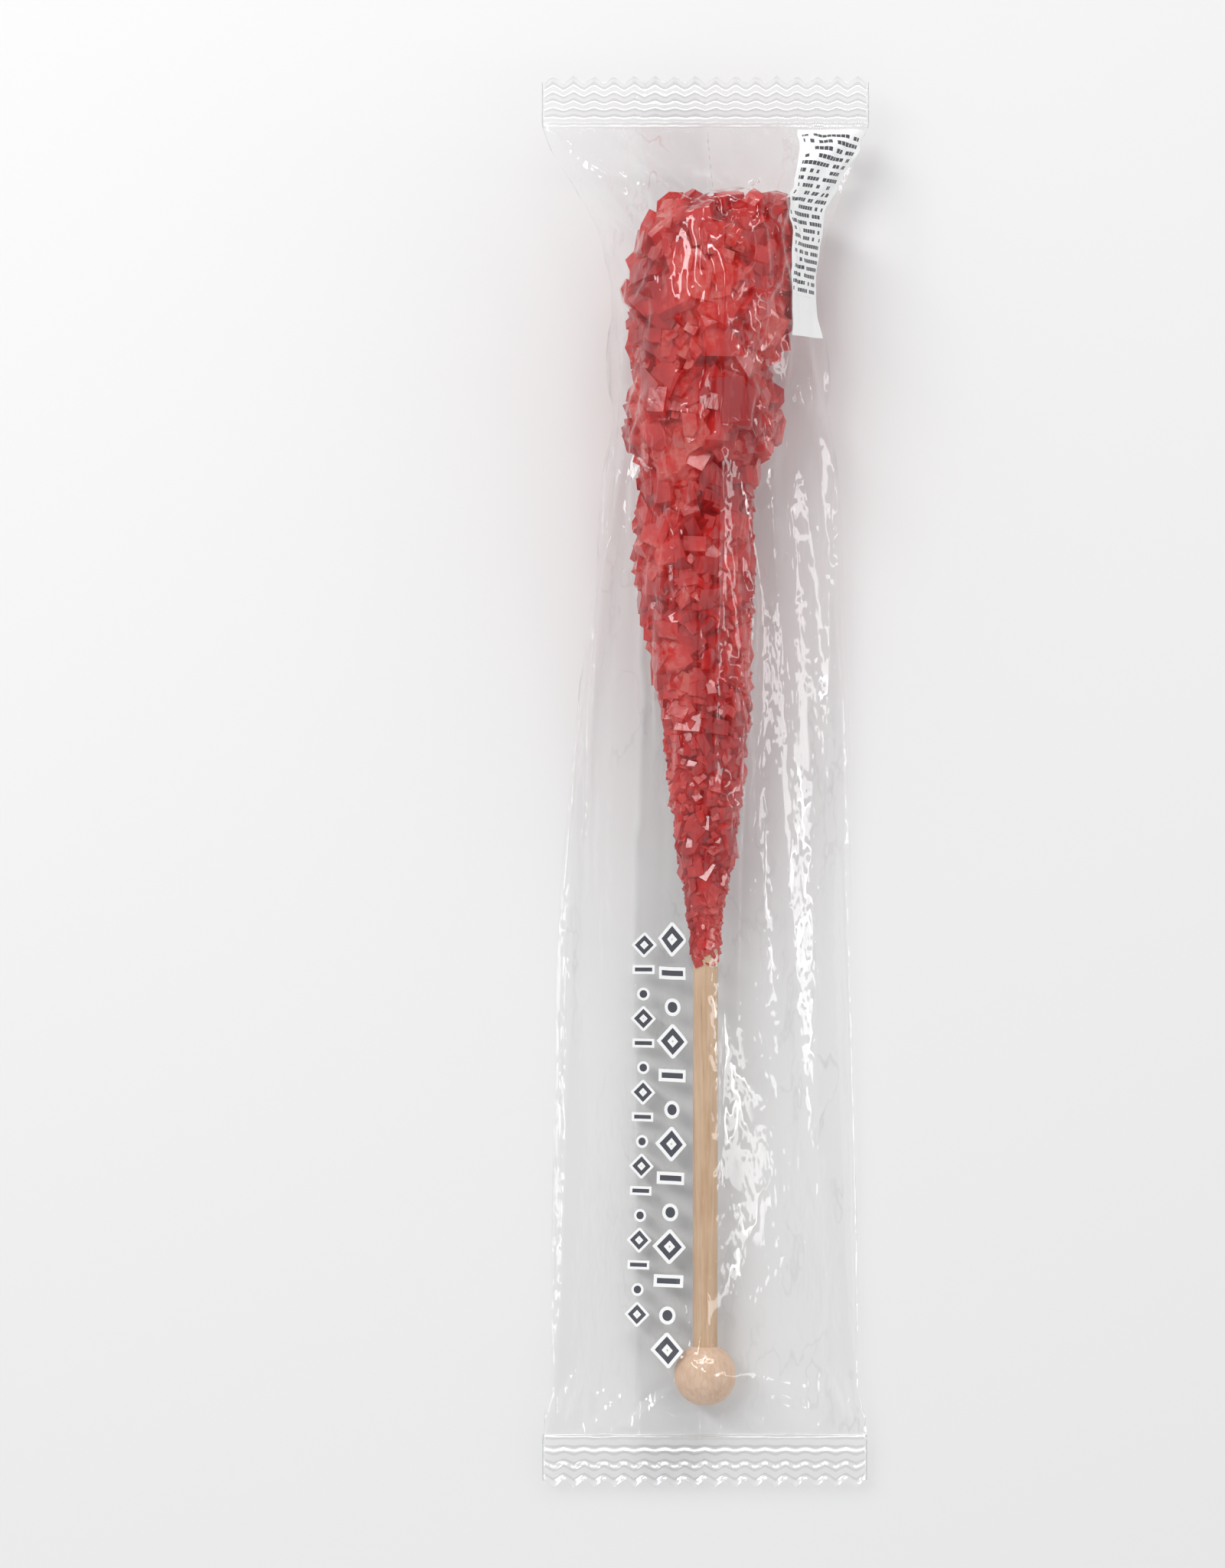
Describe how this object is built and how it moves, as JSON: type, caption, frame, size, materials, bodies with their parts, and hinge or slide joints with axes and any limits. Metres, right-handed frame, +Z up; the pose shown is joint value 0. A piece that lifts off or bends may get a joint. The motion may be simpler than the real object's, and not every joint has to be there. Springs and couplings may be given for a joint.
{
  "type": "rock candy stick",
  "caption": "Red rock candy crystals grown on a wooden dowel with a ball knob, sealed in a clear film bag and lying on its side.",
  "frame": {"origin": "middle of the bag's length and width, on the ground plane", "axes": "+Y along the stick from the knob to the candy's tip, +Z up from the side it lies on to the side the picture shows, +X to the right in the picture"},
  "size_m": [0.042, 0.182, 0.0226],
  "materials": {
    "film": "clear glossy film",
    "candy": "translucent red sugar crystals",
    "stick": "plain sanded birch",
    "print": "ink printed on the film"
  },
  "bodies": {
    "root": {"wrapper": "film"}
  },
  "joints": []
}
